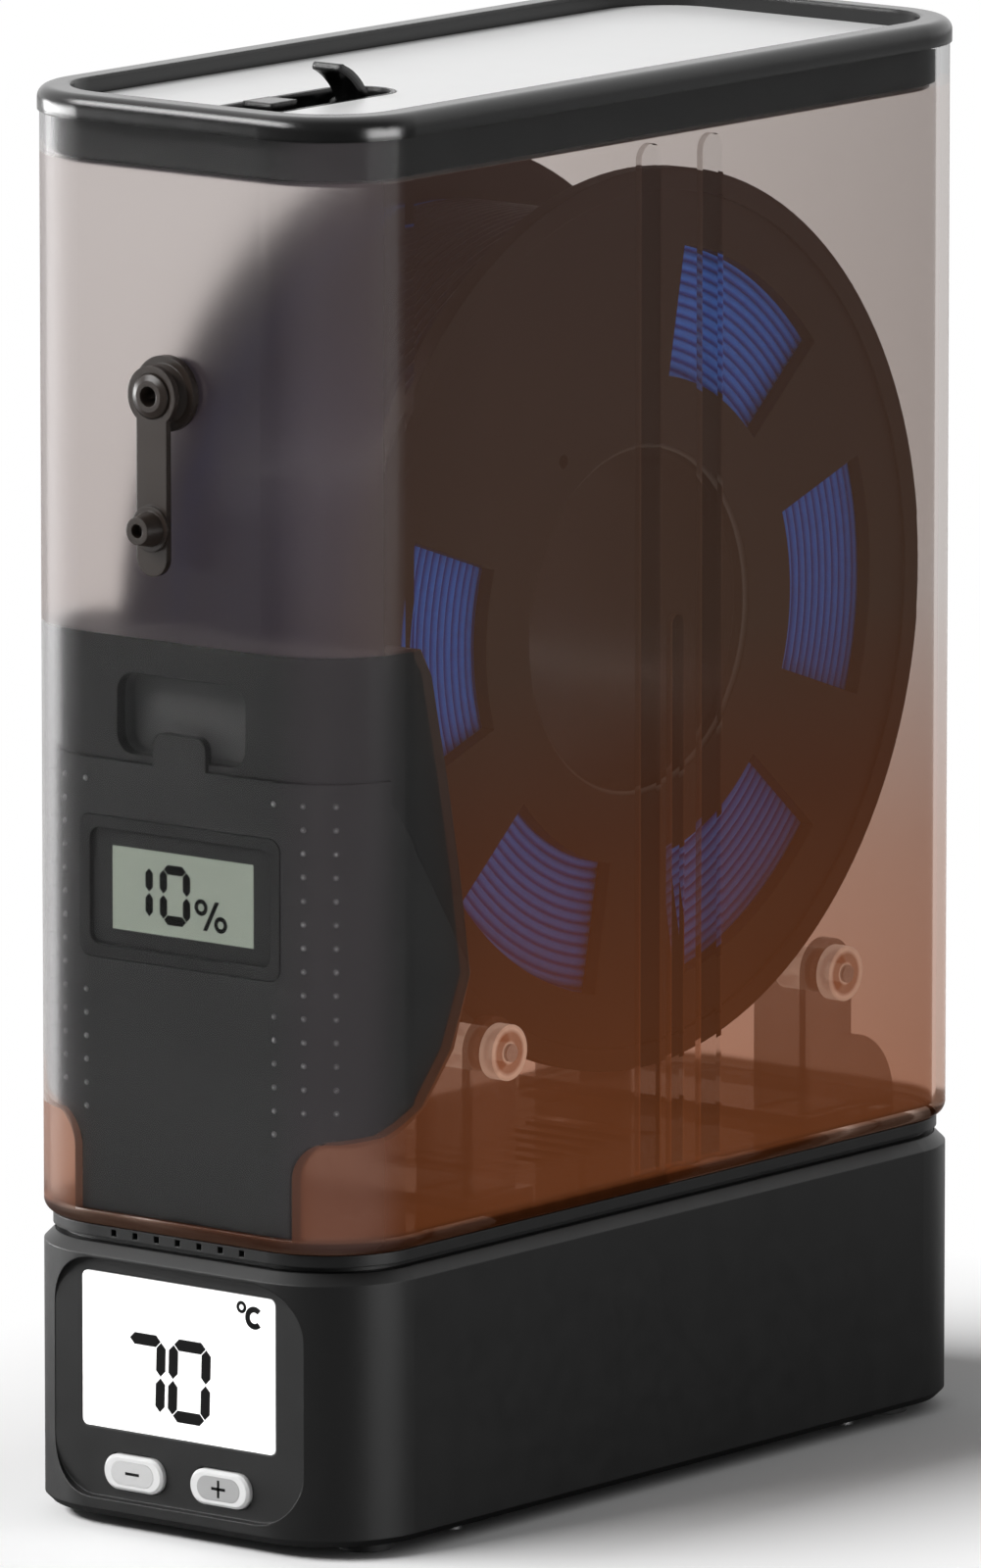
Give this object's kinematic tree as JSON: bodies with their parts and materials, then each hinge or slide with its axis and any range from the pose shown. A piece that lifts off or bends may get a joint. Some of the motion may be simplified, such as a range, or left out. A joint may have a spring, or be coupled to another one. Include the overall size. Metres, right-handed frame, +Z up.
{
  "type": "filament dryer box",
  "caption": "Upright filament dryer: a heated base with a display, a clear container in which a spool turns on rollers, and a sealed lid with a flip lever.",
  "frame": {"origin": "centre of the bounding box, on the surface that the feet stand on", "axes": "+Z up, -Y towards the display and the filament outlet, +X to the right seen from the front"},
  "size_m": [0.0984, 0.24, 0.3186],
  "materials": {
    "base_black": "fine matte moulded",
    "lid_black": "polished",
    "lid_white": "smooth white",
    "smoke_clear": "clear smoke brown",
    "clear": "clear",
    "rubber_black": "matte rubber",
    "silicone_dark": "soft silicone",
    "steel": "bright",
    "screw_steel": "blackened",
    "display_white": "lit white display",
    "display_grey": "grey-green display",
    "board_green": "solder mask",
    "dark_plastic": "fine matte moulded",
    "button_grey": "satin light grey",
    "aluminium": "fins",
    "spool_black": "matte black",
    "filament_blue": "satin filament",
    "bag_white": "paper-like bag"
  },
  "bodies": {
    "base": {"base_shell": "base_black", "bottom_plate": "base_black", "rubber_feet": "rubber_black", "bottom_screws": "screw_steel", "top_deck": "base_black", "display_window": "display_white", "display_module": "dark_plastic", "control_board": "board_green", "button_switches": "dark_plastic", "fan_frame": "dark_plastic", "air_duct": "dark_plastic", "heater_element": "aluminium", "dc_inlet": "dark_plastic", "temperature_sensor": "steel"},
    "minus_key": {"minus_button": "button_grey"},
    "plus_key": {"plus_button": "button_grey"},
    "fan": {"fan_rotor": "dark_plastic"},
    "container": {"container_tub": "smoke_clear", "container_ring": "rubber_black", "front_roller_cradle": "smoke_clear", "rear_roller_cradle": "smoke_clear", "front_axle": "steel", "rear_axle": "steel", "desiccant_box": "dark_plastic", "desiccant_cover": "dark_plastic", "desiccant_pack": "bag_white", "hygrometer_module": "dark_plastic", "hygrometer_lens": "display_grey", "coin_cell": "steel", "outlet_grommet": "silicone_dark"},
    "plug": {"outlet_plug": "silicone_dark"},
    "roller_front_right": {"front_right_roller": "clear"},
    "roller_rear_right": {"rear_right_roller": "clear"},
    "roller_front_left": {"front_left_roller": "clear"},
    "roller_rear_left": {"rear_left_roller": "clear"},
    "spool": {"spool_right_flange": "spool_black", "spool_left_flange": "spool_black", "spool_hub": "spool_black", "filament_core": "filament_blue", "filament_outer_turns": "filament_blue"},
    "lid": {"lid_frame": "lid_black", "lid_gasket": "silicone_dark", "lid_panel": "lid_white", "lever_cup": "dark_plastic", "lever_bracket": "dark_plastic", "lever_pin": "steel"},
    "lever": {"lid_lever": "dark_plastic"}
  },
  "joints": [
    {"name": "minus_press", "type": "slide", "parent": "base", "child": "minus_key", "axis": [0, 1, 0], "range_m": [0, 0.001], "stiffness_N_per_m": 500, "springref_m": -0.001},
    {"name": "plus_press", "type": "slide", "parent": "base", "child": "plus_key", "axis": [0, 1, 0], "range_m": [0, 0.001], "stiffness_N_per_m": 500, "springref_m": -0.001},
    {"name": "fan_spin", "type": "hinge", "parent": "base", "child": "fan", "pos_m": [0, 0.00524, 0.015], "axis": [0, 0, 1], "continuous": true},
    {"name": "container_lift", "type": "slide", "parent": "base", "child": "container", "axis": [0, 0, 1], "range_m": [0, 0.05]},
    {"name": "lid_lift", "type": "slide", "parent": "container", "child": "lid", "axis": [0, 0, 1], "range_m": [0, 0.04]},
    {"name": "lever_flip", "type": "hinge", "parent": "lid", "child": "lever", "pos_m": [0, -0.04526, 0.3066], "axis": [-1, 0, 0], "range_deg": [0, 70]},
    {"name": "spool_spin", "type": "hinge", "parent": "container", "child": "spool", "pos_m": [0, 0.01374, 0.1907], "axis": [1, 0, 0], "continuous": true},
    {"name": "plug_swing", "type": "hinge", "parent": "container", "child": "plug", "pos_m": [0, -0.11341, 0.2528], "axis": [0, 1, 0], "range_deg": [-100, 100]},
    {"name": "front_right_roller_spin", "type": "hinge", "parent": "container", "child": "roller_front_right", "pos_m": [0.035, -0.04626, 0.10417], "axis": [1, 0, 0], "continuous": true},
    {"name": "front_left_roller_spin", "type": "hinge", "parent": "container", "child": "roller_front_left", "pos_m": [-0.035, -0.04626, 0.10417], "axis": [1, 0, 0], "continuous": true},
    {"name": "rear_right_roller_spin", "type": "hinge", "parent": "container", "child": "roller_rear_right", "pos_m": [0.035, 0.07374, 0.10417], "axis": [1, 0, 0], "continuous": true},
    {"name": "rear_left_roller_spin", "type": "hinge", "parent": "container", "child": "roller_rear_left", "pos_m": [-0.035, 0.07374, 0.10417], "axis": [1, 0, 0], "continuous": true}
  ],
  "couplings": [
    {"joint": "front_right_roller_spin", "follows": "spool_spin", "ratio": -20},
    {"joint": "front_left_roller_spin", "follows": "spool_spin", "ratio": -20},
    {"joint": "rear_right_roller_spin", "follows": "spool_spin", "ratio": -20},
    {"joint": "rear_left_roller_spin", "follows": "spool_spin", "ratio": -20}
  ]
}
